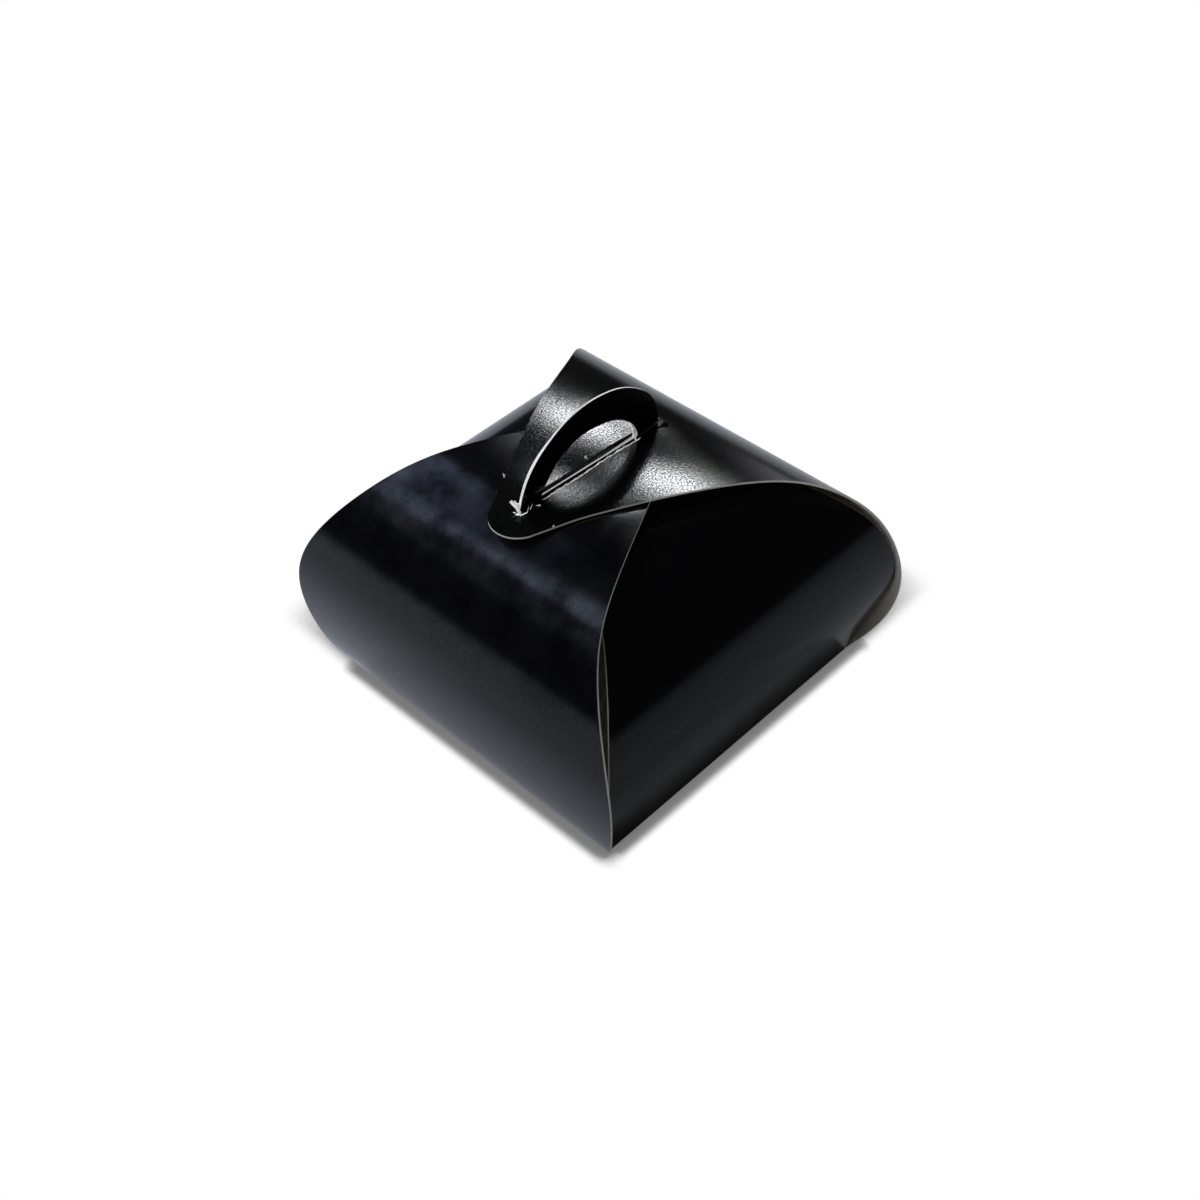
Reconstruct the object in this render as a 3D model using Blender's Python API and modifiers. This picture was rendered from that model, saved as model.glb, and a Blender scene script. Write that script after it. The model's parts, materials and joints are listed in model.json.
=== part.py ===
"""Folded card favor box: a square base, four curved petals that close over the top, and a handle.

Every size is in metres. The origin is the middle of the base's underside, and Z points up.
Seen from the front (from -Y), the front and back petals carry the two plies of the handle.
The left and right petals lie over them, and the handle comes up through their slots.
"""

import math

import bmesh
import bpy
from mathutils import Matrix, Vector

# Card
CARD = 0.00035
FOLD_GAP = 0.0003
LAYER_GAP = 0.0003
PLY_GAP = 0.0003
CUT_OVERRUN = 0.004

# Base
BASE_SIDE = 0.060

# Curve of the left petal, which lies over the front and back ones
LEFT_BULGE = 0.00595
LEFT_BULGE_HEIGHT = 0.0195
LEFT_ROOF_HEIGHT = 0.0456
LEFT_SHOULDER_RADIUS = 0.0178
LEFT_SHOULDER_START_DEG = 53.7

# Curve of the right petal, the topmost one
RIGHT_BULGE = 0.0059
RIGHT_BULGE_HEIGHT = 0.0170
RIGHT_ROOF_RADIUS = 0.073
RIGHT_ROOF_START_DEG = 76.2

# Curve of the front and back petals, the innermost ones
INNER_BULGE = 0.00505
INNER_BULGE_HEIGHT = 0.0192
INNER_ROOF_DROP = 0.0030
INNER_SHOULDER_RADIUS = 0.0234
INNER_SHOULDER_START_DEG = 45.0

# Each petal bends at its shoulder, where its curve leans this far back
SHOULDER_FOLD_DEG = 35.0

# Outlines of the petals, seen from above
CORNER_GAP = 0.0009
EDGE_BLEND = 0.0015
LEFT_EDGE_START = 0.0243
LEFT_EDGE_SLOPE = 0.476
LEFT_TIP_MARGIN = 0.0026
RIGHT_EDGE_START = 0.0300
RIGHT_EDGE_SLOPE = 0.516
RIGHT_TIP_MARGIN = 0.0044
INNER_EDGE_START = 0.0220
INNER_EDGE_SLOPE = 0.50

# Handle, a half-lens loop in two plies
LOOP_OFFSET = -0.0010
LOOP_WIDTH = 0.0316
LOOP_HEIGHT = 0.01105
LOOP_FOOT_WIDTH = 0.0052
LOOP_BAND_HEIGHT = 0.0057
SLOT_END_CLEARANCE = 0.0006
SLOT_SIDE_CLEARANCE = 0.0003
RIDGE_HEIGHT = 0.0004

# How finely the curves are stepped
CURVE_STEP_DEG = 5.0
TIP_STEPS = 9
EDGE_STEPS = 16
LOOP_STEPS = 22

# Sizes that follow from the ones above
HALF_BASE = BASE_SIDE / 2
LAYER_RISE = CARD + LAYER_GAP
RIGHT_ROOF_HEIGHT = LEFT_ROOF_HEIGHT + LAYER_RISE
INNER_ROOF_HEIGHT = LEFT_ROOF_HEIGHT - INNER_ROOF_DROP
PLY_FACE = PLY_GAP / 2 + CARD
LOOP_FLOOR = RIGHT_ROOF_HEIGHT + FOLD_GAP
HOLE_WIDTH = LOOP_WIDTH - 2 * LOOP_FOOT_WIDTH
HOLE_HEIGHT = LOOP_HEIGHT - LOOP_BAND_HEIGHT
SLOT_LENGTH = LOOP_WIDTH + 2 * SLOT_END_CLEARANCE
SLOT_WIDTH = 2 * (PLY_FACE + SLOT_SIDE_CLEARANCE)
LEFT_TIP_REACH = LOOP_OFFSET + SLOT_LENGTH / 2 + LEFT_TIP_MARGIN
RIGHT_TIP_REACH = -LOOP_OFFSET + SLOT_LENGTH / 2 + RIGHT_TIP_MARGIN
MOST_BULGE = max(LEFT_BULGE, RIGHT_BULGE, INNER_BULGE)
BOX_REACH = HALF_BASE + MOST_BULGE + CUT_OVERRUN
BOX_TOP = RIGHT_ROOF_HEIGHT + CUT_OVERRUN


class PetalCurve:
    """Outer surface line of one petal, as (reach from the box's middle, height).

    It leans out from the base crease on one arc, stands upright at the bulge, and comes
    back over the top on a side arc and a shoulder arc. An angle says where a point is: it
    is the slope of the outward normal above the horizontal, so 90 degrees is the roof.
    """

    def __init__(self, bulge, bulge_height, roof_height, shoulder_radius, shoulder_start_deg):
        self.bulge_height = bulge_height
        self.roof_height = roof_height
        self.shoulder_radius = shoulder_radius
        self.shoulder_start = math.radians(shoulder_start_deg)
        self.lower_radius = (bulge**2 + bulge_height**2) / (2 * bulge)
        self.lean = math.asin(bulge_height / self.lower_radius)
        rise_left = roof_height - bulge_height - shoulder_radius
        self.side_radius = shoulder_radius + rise_left / math.sin(self.shoulder_start)
        bulge_reach = HALF_BASE + bulge
        self.lower_centre = (bulge_reach - self.lower_radius, bulge_height)
        self.side_centre = (bulge_reach - self.side_radius, bulge_height)
        shift = self.side_radius - shoulder_radius
        self.shoulder_centre = (
            self.side_centre[0] + shift * math.cos(self.shoulder_start),
            self.side_centre[1] + shift * math.sin(self.shoulder_start),
        )

    def arc_at(self, angle):
        if angle < 0:
            return self.lower_centre, self.lower_radius
        if angle < self.shoulder_start:
            return self.side_centre, self.side_radius
        return self.shoulder_centre, self.shoulder_radius

    def point_at(self, angle, depth=0):
        """The point at this angle, sunk by depth into the card."""
        centre, radius = self.arc_at(angle)
        return (
            centre[0] + (radius - depth) * math.cos(angle),
            centre[1] + (radius - depth) * math.sin(angle),
        )

    def points(self, start, end):
        """Points from one angle to another, with one at each change of radius."""
        stops = [start]
        stops += [a for a in (0.0, self.shoulder_start) if start < a < end]
        stops.append(end)
        found = [self.point_at(start)]
        for low, high in zip(stops, stops[1:]):
            count = max(1, math.ceil((high - low) / math.radians(CURVE_STEP_DEG)))
            for i in range(1, count + 1):
                found.append(self.point_at(low + (high - low) * i / count))
        return found

    def fold_angles(self):
        """Where the wall ends and the lid starts, half a fold gap to each side of the shoulder fold."""
        fold = math.radians(SHOULDER_FOLD_DEG)
        half_gap = FOLD_GAP / 2 / self.arc_at(fold)[1]
        return fold - half_gap, fold + half_gap

    def fold_point(self):
        """The shoulder fold's axis, in the middle of the card."""
        return self.point_at(math.radians(SHOULDER_FOLD_DEG), CARD / 2)


def arc_points(centre, radius, start, end):
    count = max(1, math.ceil(abs(end - start) / math.radians(CURVE_STEP_DEG)))
    angles = [start + (end - start) * i / count for i in range(1, count + 1)]
    return [(centre[0] + radius * math.cos(a), centre[1] + radius * math.sin(a)) for a in angles]


# Scene

for old in list(bpy.data.objects):
    bpy.data.objects.remove(old, do_unlink=True)


def new_collection(name):
    collection = bpy.data.collections.new(name)
    bpy.context.scene.collection.children.link(collection)
    return collection


BOX = new_collection("folded_card_favor_box")
CUTTERS = new_collection("cutters")


def card_material(name, colour, roughness):
    material = bpy.data.materials.new(name)
    material.use_nodes = True
    shader = material.node_tree.nodes["Principled BSDF"]
    shader.inputs["Base Color"].default_value = (*colour, 1)
    shader.inputs["Roughness"].default_value = roughness
    shader.inputs["Metallic"].default_value = 0
    material.diffuse_color = (*colour, 1)
    return material


def add_object(name, mesh, collection, place=(0, 0, 0), turn=0, parent=None):
    """An object of this mesh. Its place and turn are in its parent's frame."""
    made = bpy.data.objects.new(name, mesh)
    collection.objects.link(made)
    made.location = place
    made.rotation_euler = (0, 0, turn)
    made.parent = parent
    return made


def as_cutter(made):
    made.hide_render = True
    made.display_type = "WIRE"
    return made


def flat_outline_mesh(name, outline, thickness):
    """A closed flat outline, given as (x, y) points, made a plate about the XY plane."""
    curve = bpy.data.curves.new(name, "CURVE")
    curve.dimensions = "2D"
    curve.fill_mode = "BOTH"
    curve.extrude = thickness / 2
    spline = curve.splines.new("POLY")
    spline.points.add(len(outline) - 1)
    for point, (x, y) in zip(spline.points, outline):
        point.co = (x, y, 0, 1)
    spline.use_cyclic_u = True
    holder = bpy.data.objects.new(name + "_outline", curve)
    bpy.context.scene.collection.objects.link(holder)
    bpy.context.view_layer.update()
    evaluated = holder.evaluated_get(bpy.context.evaluated_depsgraph_get())
    mesh = bpy.data.meshes.new_from_object(evaluated)
    mesh.name = name
    bpy.data.objects.remove(holder, do_unlink=True)
    work = bmesh.new()
    work.from_mesh(mesh)
    bmesh.ops.remove_doubles(work, verts=work.verts, dist=CARD / 100)
    bmesh.ops.recalc_face_normals(work, faces=work.faces)
    work.to_mesh(mesh)
    work.free()
    return mesh


def sheet_mesh(name, line, half_width):
    """An open sheet: the line of (reach, height) points, drawn out sideways by half_width each way."""
    work = bmesh.new()
    row = [work.verts.new((reach, -half_width, height)) for reach, height in line]
    edges = [work.edges.new(pair) for pair in zip(row, row[1:])]
    drawn = bmesh.ops.extrude_edge_only(work, edges=edges)["geom"]
    moved = [item for item in drawn if isinstance(item, bmesh.types.BMVert)]
    bmesh.ops.translate(work, verts=moved, vec=(0, 2 * half_width, 0))
    for face in work.faces:
        face.normal_update()
    first = next(iter(work.faces))
    middle = Vector((0, 0, INNER_BULGE_HEIGHT))
    mesh = bpy.data.meshes.new(name)
    outward = first.normal.dot(first.calc_center_median() - middle) > 0
    if not outward:
        bmesh.ops.reverse_faces(work, faces=work.faces)
    work.to_mesh(mesh)
    work.free()
    return mesh


def moved_mesh(mesh, place):
    """The mesh seen from this place, so that the object's origin can sit there."""
    mesh.transform(Matrix.Translation(-Vector(place)))
    return mesh


def give_thickness(made):
    solid = made.modifiers.new("card", "SOLIDIFY")
    solid.thickness = CARD
    solid.offset = -1
    solid.use_even_offset = True


def cut(made, cutter, operation):
    boolean = made.modifiers.new(cutter.name, "BOOLEAN")
    boolean.object = cutter
    boolean.operation = operation
    boolean.solver = "EXACT"


# Outlines of the petals, seen from above with the petal's base side to the right

def edge_width(reach, edge_start, edge_slope, inset=0):
    """Half the petal's width here: the box's diagonal, blended into the petal's own straight edge."""
    diagonal = reach - inset
    straight = edge_start - inset + edge_slope * (reach - edge_start)
    blend = math.hypot(diagonal - straight, EDGE_BLEND)
    return (diagonal + straight + blend) / 2


def tongue_outline(edge_start, edge_slope, tip_reach):
    """A left or right petal: it narrows past the middle to a round tip."""
    run = math.hypot(1, edge_slope)
    middle_width = edge_start * (1 - edge_slope)
    tip_radius = (middle_width - edge_slope * tip_reach) / (run - edge_slope)
    tip_centre = tip_radius - tip_reach
    touch = tip_centre - tip_radius * edge_slope / run
    half = []
    for i in range(EDGE_STEPS + 1):
        reach = BOX_REACH + (touch - BOX_REACH) * i / EDGE_STEPS
        half.append((reach, edge_width(reach, edge_start, edge_slope)))
    first = math.pi / 2 + math.atan(edge_slope)
    half[-1] = (touch, tip_radius * math.sin(first))
    for i in range(1, TIP_STEPS):
        angle = first + (math.pi - first) * i / TIP_STEPS
        half.append((tip_centre + tip_radius * math.cos(angle), tip_radius * math.sin(angle)))
    tip = [(-tip_reach, 0)]
    return half + tip + [(reach, -width) for reach, width in reversed(half)]


def inner_outline(loop_side):
    """A front or back petal: it narrows to the handle's width at the middle."""
    sides = []
    for sign in (1, -1):
        loop_half = LOOP_WIDTH / 2 + sign * loop_side * LOOP_OFFSET
        side = [(0, sign * loop_half)]
        meet = INNER_EDGE_START + (loop_half - INNER_EDGE_START + CORNER_GAP) / INNER_EDGE_SLOPE
        for i in range(EDGE_STEPS + 1):
            reach = meet + (BOX_REACH - meet) * i / EDGE_STEPS
            width = edge_width(reach, INNER_EDGE_START, INNER_EDGE_SLOPE, CORNER_GAP)
            side.append((reach, sign * max(width, loop_half)))
        sides.append(side)
    return sides[0] + sides[1][::-1]


def outline_cutter(name, outline, turn):
    mesh = flat_outline_mesh(name, outline, 2 * BOX_TOP)
    return as_cutter(add_object(name, mesh, CUTTERS, turn=turn))


def block_cutter(name, size, place):
    mesh = bpy.data.meshes.new(name)
    work = bmesh.new()
    bmesh.ops.create_cube(work, size=1)
    bmesh.ops.scale(work, vec=size, verts=work.verts)
    work.to_mesh(mesh)
    work.free()
    return as_cutter(add_object(name, mesh, CUTTERS, place))


# Materials

COATED = card_material("black_coated_card", (0.006, 0.006, 0.008), 0.32)
RIGHT_COATED = card_material("black_coated_card_top", (0.009, 0.009, 0.011), 0.28)
BOARD = card_material("uncoated_card_base", (0.62, 0.59, 0.53), 0.85)
LOOP_COATED = card_material("black_coated_card_loop", (0.005, 0.005, 0.006), 0.35)


# Base

base_mesh = bpy.data.meshes.new("base_panel")
base_work = bmesh.new()
bmesh.ops.create_cube(base_work, size=1)
base_inside = BASE_SIDE - 2 * (CARD + FOLD_GAP)
bmesh.ops.scale(base_work, vec=(base_inside, base_inside, CARD), verts=base_work.verts)
base_work.to_mesh(base_mesh)
base_work.free()
base = add_object("base_panel", base_mesh, BOX, (0, 0, CARD / 2))
base.data.materials.append(BOARD)


# Petals

def make_petal(name, curve, top_line, outline, turn, material):
    """The wall and the lid of one petal, the lid hung on the wall at the shoulder fold."""
    cutter = outline_cutter(name + "_outline", outline, turn)
    wall_end, lid_start = curve.fold_angles()
    wall_line = curve.points(-curve.lean, wall_end)
    lid_line = curve.points(lid_start, math.pi / 2) + top_line
    crease = (HALF_BASE, 0, 0)
    fold = curve.fold_point()
    fold = (fold[0], 0, fold[1])

    wall_mesh = moved_mesh(sheet_mesh(name + "_wall", wall_line, BOX_REACH), crease)
    place = Matrix.Rotation(turn, 3, "Z") @ Vector(crease)
    wall = add_object(name + "_wall", wall_mesh, BOX, place, turn)
    wall.data.materials.append(material)
    give_thickness(wall)
    cut(wall, cutter, "INTERSECT")

    lid_mesh = moved_mesh(sheet_mesh(name + "_lid", lid_line, BOX_REACH), fold)
    place = Vector(fold) - Vector(crease)
    lid = add_object(name + "_lid", lid_mesh, BOX, place, parent=wall)
    lid.data.materials.append(material)
    give_thickness(lid)
    cut(lid, cutter, "INTERSECT")
    return wall, lid


left_curve = PetalCurve(
    LEFT_BULGE,
    LEFT_BULGE_HEIGHT,
    LEFT_ROOF_HEIGHT,
    LEFT_SHOULDER_RADIUS,
    LEFT_SHOULDER_START_DEG,
)
right_curve = PetalCurve(
    RIGHT_BULGE,
    RIGHT_BULGE_HEIGHT,
    RIGHT_ROOF_HEIGHT,
    RIGHT_ROOF_RADIUS,
    RIGHT_ROOF_START_DEG,
)
inner_curve = PetalCurve(
    INNER_BULGE,
    INNER_BULGE_HEIGHT,
    INNER_ROOF_HEIGHT,
    INNER_SHOULDER_RADIUS,
    INNER_SHOULDER_START_DEG,
)

# The right petal ends flat at its tip. The left petal's tip runs under the right petal's
# roof arc, one layer below it and about the same centre. It starts to droop where its own
# shoulder ends, or further in, below the top of the right petal's roof arc.
right_top = [(-RIGHT_TIP_REACH - CUT_OVERRUN, RIGHT_ROOF_HEIGHT)]
droop_centre = (-right_curve.shoulder_centre[0], right_curve.shoulder_centre[1])
droop_radius = RIGHT_ROOF_RADIUS - LAYER_RISE
flat_run = left_curve.shoulder_centre[0] - droop_centre[0]
droop_reach = LEFT_TIP_REACH + CUT_OVERRUN + droop_centre[0]
droop_start = math.pi / 2 + math.asin(max(0, -flat_run) / droop_radius)
droop_end = math.pi / 2 + math.asin(droop_reach / droop_radius)
left_top = [(droop_centre[0], LEFT_ROOF_HEIGHT)] if flat_run > CARD else []
left_top += arc_points(droop_centre, droop_radius, droop_start, droop_end)

# The front and back petals turn up at the middle, into the handle's feet.
inner_top = [(PLY_FACE, INNER_ROOF_HEIGHT), (PLY_FACE, RIGHT_ROOF_HEIGHT)]

front_wall, front_lid = make_petal(
    "front", inner_curve, inner_top, inner_outline(1), -math.pi / 2, COATED
)
back_wall, back_lid = make_petal(
    "back", inner_curve, inner_top, inner_outline(-1), math.pi / 2, COATED
)
left_outline = tongue_outline(LEFT_EDGE_START, LEFT_EDGE_SLOPE, LEFT_TIP_REACH)
left_wall, left_lid = make_petal("left", left_curve, left_top, left_outline, math.pi, COATED)
right_outline = tongue_outline(RIGHT_EDGE_START, RIGHT_EDGE_SLOPE, RIGHT_TIP_REACH)
right_wall, right_lid = make_petal(
    "right", right_curve, right_top, right_outline, 0, RIGHT_COATED
)

# Slot in the left and right lids, which the handle's feet pass through
slot = block_cutter(
    "handle_slot", (SLOT_LENGTH, SLOT_WIDTH, BOX_TOP), (LOOP_OFFSET, 0, INNER_ROOF_HEIGHT)
)
for lid in (left_lid, right_lid):
    cut(lid, slot, "DIFFERENCE")

# Gap between the two feet of each ply, down to a low ridge along the fold
gap_floor = INNER_ROOF_HEIGHT + RIDGE_HEIGHT
gap_top = RIGHT_ROOF_HEIGHT + CUT_OVERRUN
feet_gap = block_cutter(
    "feet_gap",
    (HOLE_WIDTH, 2 * (PLY_FACE + CUT_OVERRUN), gap_top - gap_floor),
    (LOOP_OFFSET, 0, (gap_floor + gap_top) / 2),
)
for lid in (front_lid, back_lid):
    cut(lid, feet_gap, "DIFFERENCE")


# Handle

def half_lens(half_width, height, floor):
    """Points of a half ellipse from right to left, cut level at the floor."""
    start = math.asin(floor / height)
    found = []
    for i in range(LOOP_STEPS + 1):
        angle = start + (math.pi - 2 * start) * i / LOOP_STEPS
        found.append((half_width * math.cos(angle), height * math.sin(angle)))
    return found


def make_loop(name, lid, turn):
    """One ply of the handle, standing on its lid's feet and hung at the fold between them."""
    outer = half_lens(LOOP_WIDTH / 2, LOOP_HEIGHT, FOLD_GAP)
    hole = half_lens(HOLE_WIDTH / 2, HOLE_HEIGHT, FOLD_GAP)
    mesh = flat_outline_mesh(name, outer + hole[::-1], CARD)
    upright = Matrix.Rotation(math.pi / 2, 4, "X")
    across = Matrix.Rotation(math.pi / 2, 4, "Z")
    mesh.transform(across @ upright)
    mesh.transform(Matrix.Translation((0, 0, -FOLD_GAP)))
    middle = PLY_GAP / 2 + CARD / 2
    fold = inner_curve.fold_point()
    side = LOOP_OFFSET * math.sin(-turn)
    place = Vector((middle, side, LOOP_FLOOR)) - Vector((fold[0], 0, fold[1]))
    loop = add_object(name, mesh, BOX, place, parent=lid)
    loop.data.materials.append(LOOP_COATED)
    return loop


front_handle = make_loop("front_handle", front_lid, -math.pi / 2)
back_handle = make_loop("back_handle", back_lid, math.pi / 2)

for made in BOX.objects:
    made.data.shade_smooth()
    made.data.set_sharp_from_angle(angle=math.radians(2 * CURVE_STEP_DEG + SHOULDER_FOLD_DEG))
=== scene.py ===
# %% [markdown]
# # A folded card favor box
# This lesson dresses a small black favor box. The real one is a single sheet of card, coated
# black on one side, that is cut, creased and closed without glue: four petals bulge out from a
# square base and curl over the top, and a loop of card stands up through them as a handle.
# A imported CAD model gives every place and every joint. The base and the torn fibres made here
# ride on its bodies; the petals and the handle's plies stand in for its hidden parts.

import json
import math
import random

import bmesh
import bpy
import numpy as np
from mathutils import Matrix, Vector

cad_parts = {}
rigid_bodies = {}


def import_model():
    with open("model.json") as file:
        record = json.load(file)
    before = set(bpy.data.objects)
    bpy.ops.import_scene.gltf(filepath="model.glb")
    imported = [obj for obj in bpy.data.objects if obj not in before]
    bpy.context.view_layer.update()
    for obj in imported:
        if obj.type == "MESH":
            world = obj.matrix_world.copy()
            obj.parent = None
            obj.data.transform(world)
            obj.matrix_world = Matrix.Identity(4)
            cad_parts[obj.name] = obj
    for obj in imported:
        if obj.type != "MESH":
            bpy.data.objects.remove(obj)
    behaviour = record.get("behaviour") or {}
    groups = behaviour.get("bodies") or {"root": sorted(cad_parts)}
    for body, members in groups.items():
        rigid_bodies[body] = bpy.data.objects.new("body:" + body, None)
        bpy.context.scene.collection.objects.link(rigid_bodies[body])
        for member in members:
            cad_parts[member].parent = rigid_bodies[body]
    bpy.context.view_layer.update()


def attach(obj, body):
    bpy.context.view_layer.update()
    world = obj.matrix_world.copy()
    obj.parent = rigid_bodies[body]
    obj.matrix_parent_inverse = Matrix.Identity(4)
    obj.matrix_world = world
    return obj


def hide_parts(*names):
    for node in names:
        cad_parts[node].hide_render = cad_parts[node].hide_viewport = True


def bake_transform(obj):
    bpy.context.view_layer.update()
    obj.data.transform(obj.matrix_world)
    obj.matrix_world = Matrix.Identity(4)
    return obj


for old in list(bpy.data.objects):
    bpy.data.objects.remove(old, do_unlink=True)
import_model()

# %% [markdown]
# ## Helpers
# Sizes below are written in millimetres, because that is how card is measured. Colours are
# written as sRGB hex values and turned to linear light by one function. One small function
# adds a node to any node tree, with its settings and its links, and another puts a new object
# into the scene.

# %% Units, colours and nodes
MM = 0.001


def linear(hex_colour):
    """A colour such as 14151A as linear red, green, blue and alpha."""
    parts = [int(hex_colour[i : i + 2], 16) / 255 for i in (0, 2, 4)]
    return (*[p / 12.92 if p <= 0.04045 else ((p + 0.055) / 1.055) ** 2.4 for p in parts], 1)


def add_node(tree, kind, inputs=None, **settings):
    """A node of this kind. Its inputs are values, or nodes and sockets to link from. A node
    stands for its first output in use."""
    node = tree.nodes.new(kind)
    for name, value in settings.items():
        setattr(node, name, value)
    for name, value in (inputs or {}).items():
        if isinstance(value, bpy.types.Node):
            value = next(socket for socket in value.outputs if socket.enabled)
        if isinstance(value, bpy.types.NodeSocket):
            tree.links.new(value, node.inputs[name])
        else:
            node.inputs[name].default_value = value
    return node


def in_scene(name, data):
    """A new object that holds this data, linked to the scene."""
    made = bpy.data.objects.new(name, data)
    bpy.context.scene.collection.objects.link(made)
    return made


print("mid grey in linear light:", round(linear("808080")[0], 3))

# %% [markdown]
# ## Camera
# The photograph looks down at about 45 degrees on the box's front left corner. The lens and
# the place were worked out from the base's corners and the petals' edges, so this camera sees
# the box as the photograph does.

# %% Camera
LENS_MM, SENSOR_MM = 52.92, 36
LOOK_TURN = math.radians(43.776)
LOOK_DOWN = math.radians(44.582)
LOOK_ROLL = math.radians(-3.12)
LOOK_AT = Vector((0, 0, 15)) * MM
DISTANCE = 301.18 * MM
SIDE_STEP, UP_STEP = -0.37 * MM, -0.54 * MM

ahead = Vector(
    (
        math.cos(LOOK_DOWN) * math.sin(LOOK_TURN),
        math.cos(LOOK_DOWN) * math.cos(LOOK_TURN),
        -math.sin(LOOK_DOWN),
    )
)
level = Vector((math.cos(LOOK_TURN), -math.sin(LOOK_TURN), 0))
upright = level.cross(ahead)
right_way = level * math.cos(LOOK_ROLL) + upright * math.sin(LOOK_ROLL)
up_way = upright * math.cos(LOOK_ROLL) - level * math.sin(LOOK_ROLL)
camera = in_scene("camera", bpy.data.cameras.new("camera"))
camera.data.lens = LENS_MM
camera.data.sensor_width = SENSOR_MM
camera.data.clip_start = 0.01
place = LOOK_AT - ahead * DISTANCE + right_way * SIDE_STEP + up_way * UP_STEP
camera.matrix_world = Matrix.Translation(place) @ Matrix(
    (right_way, up_way, -ahead)
).transposed().to_4x4()
bpy.context.scene.camera = camera
print("camera at", [round(c * 1000) for c in place], "mm")

# %% [markdown]
# ## The card
# The card is solid bleached board of about 0.35 mm, black on one side. Its grain and its uneven
# patches are given in real size, so that they stay right on every piece.

# %% Card
CARD = 0.35 * MM
# A thin matt varnish: it mirrors little from above and much at a grazing angle.
VARNISH_IOR = 1.38
LEAST_GLOSS = 0.04
# Fibre grain of about a third of a millimetre: it would be finer, and is drawn to show.
GRAIN_SIZE = 0.30 * MM
GRAIN_RELIEF = 0.02
# The coating is uneven in patches of about 6 mm, but only where it was bent over the
# shoulder: there it stretched.
PATCH_SIZE = 6 * MM
BENT_FROM, BENT_TO = 30 * MM, 42 * MM


def new_material(name, values):
    """A material with one shader, whose inputs have these values."""
    material = bpy.data.materials.new(name)
    material.use_nodes = True
    tree = material.node_tree
    tree.nodes.clear()
    shader = add_node(tree, "ShaderNodeBsdfPrincipled", values)
    add_node(tree, "ShaderNodeOutputMaterial", {"Surface": shader})
    return material, tree, shader


print("card", CARD / MM, "mm, grain", GRAIN_SIZE / MM, "mm, patches", PATCH_SIZE / MM, "mm")

# %% [markdown]
# ## The black coating
# The black satin coating was rolled on: it is smooth, but the fibres under it print through as
# a fine grain, which only shows where a light is mirrored. A painted black would do from afar;
# here the grain is a noise pattern on the card's own map, and varies the gloss and the relief.

# %% Coating


def coated_card(name, colour, roughness, grain=0.3, clouds=0.0):
    """Black satin coating. Grain says how much the fibres print through, clouds how uneven
    the gloss is."""
    material, tree, shader = new_material(
        name, {"Base Color": linear(colour), "Roughness": roughness, "IOR": VARNISH_IOR}
    )
    card = add_node(tree, "ShaderNodeUVMap", uv_map="card")
    fibres = add_node(
        tree,
        "ShaderNodeTexNoise",
        {"Vector": card, "Scale": 1 / GRAIN_SIZE, "Detail": 2, "Roughness": 0.6},
    )
    # The tops of the fibres carry more varnish than the hollows, so they sparkle.
    gloss = add_node(
        tree,
        "ShaderNodeMapRange",
        {
            "Value": fibres,
            "From Min": 0.35,
            "From Max": 0.65,
            "To Min": 0.5 - 0.5 * grain,
            "To Max": 0.5 + 0.5 * grain,
        },
        clamp=False,
    )
    level = gloss.outputs["Result"]
    if clouds:
        patches = add_node(
            tree,
            "ShaderNodeTexNoise",
            {"Vector": card, "Scale": 1 / PATCH_SIZE, "Detail": 3, "Roughness": 0.55},
        )
        uneven = add_node(
            tree,
            "ShaderNodeMapRange",
            {
                "Value": patches,
                "From Min": 0.36,
                "From Max": 0.64,
                "To Min": 1 - 0.6 * clouds,
                "To Max": 1 + 0.6 * clouds,
            },
        )
        along = add_node(tree, "ShaderNodeSeparateXYZ", {"Vector": card})
        bent = add_node(
            tree,
            "ShaderNodeMapRange",
            {"Value": along.outputs["X"], "From Min": BENT_FROM, "From Max": BENT_TO},
        )
        share = add_node(tree, "ShaderNodeMix", {"Factor": bent, "A": 1.0, "B": uneven})
        level = add_node(
            tree, "ShaderNodeMath", {0: level, 1: share}, operation="MULTIPLY"
        ).outputs["Value"]
    specular = add_node(tree, "ShaderNodeMath", {0: level, 1: LEAST_GLOSS}, operation="MAXIMUM")
    tree.links.new(specular.outputs["Value"], shader.inputs["Specular IOR Level"])
    bump = add_node(
        tree,
        "ShaderNodeBump",
        {"Height": fibres, "Strength": 1.0, "Distance": GRAIN_RELIEF * grain * MM},
    )
    tree.links.new(bump.outputs["Normal"], shader.inputs["Normal"])
    return material


COATED_LEFT = coated_card("satin_black_coating_left", "06060A", 0.15, grain=0.3, clouds=1.0)
COATED_FRONT = coated_card("satin_black_coating_front", "050508", 0.13, grain=0.3)
COATED_BACK = coated_card("satin_black_coating_back", "050508", 0.13, grain=0.3)
COATED_RIGHT = coated_card("satin_black_coating_right", "070707", 0.115, grain=1.0)
COATED_HANDLE = coated_card("satin_black_coating_handle", "040405", 0.2, grain=0.5)
COATED_BASE = coated_card("satin_black_coating_base", "06060A", 0.2, grain=0.5)
print("coatings:", [m.name for m in bpy.data.materials if m.name.startswith("satin")])

# %% [markdown]
# ## Bare board
# The other side of the card is bare board, warm and matt, and the knife leaves a white edge with a
# little fuzz. Light seeps into such an edge and makes it look brighter than a flat white would; a
# faint glow stands for that, as painted light. Flecks of fibre keep it from looking like plastic.

# %% Bare board and cut edges
FLECK_SIZE = 0.7 * MM
FLECK_RELIEF = 0.02 * MM


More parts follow.
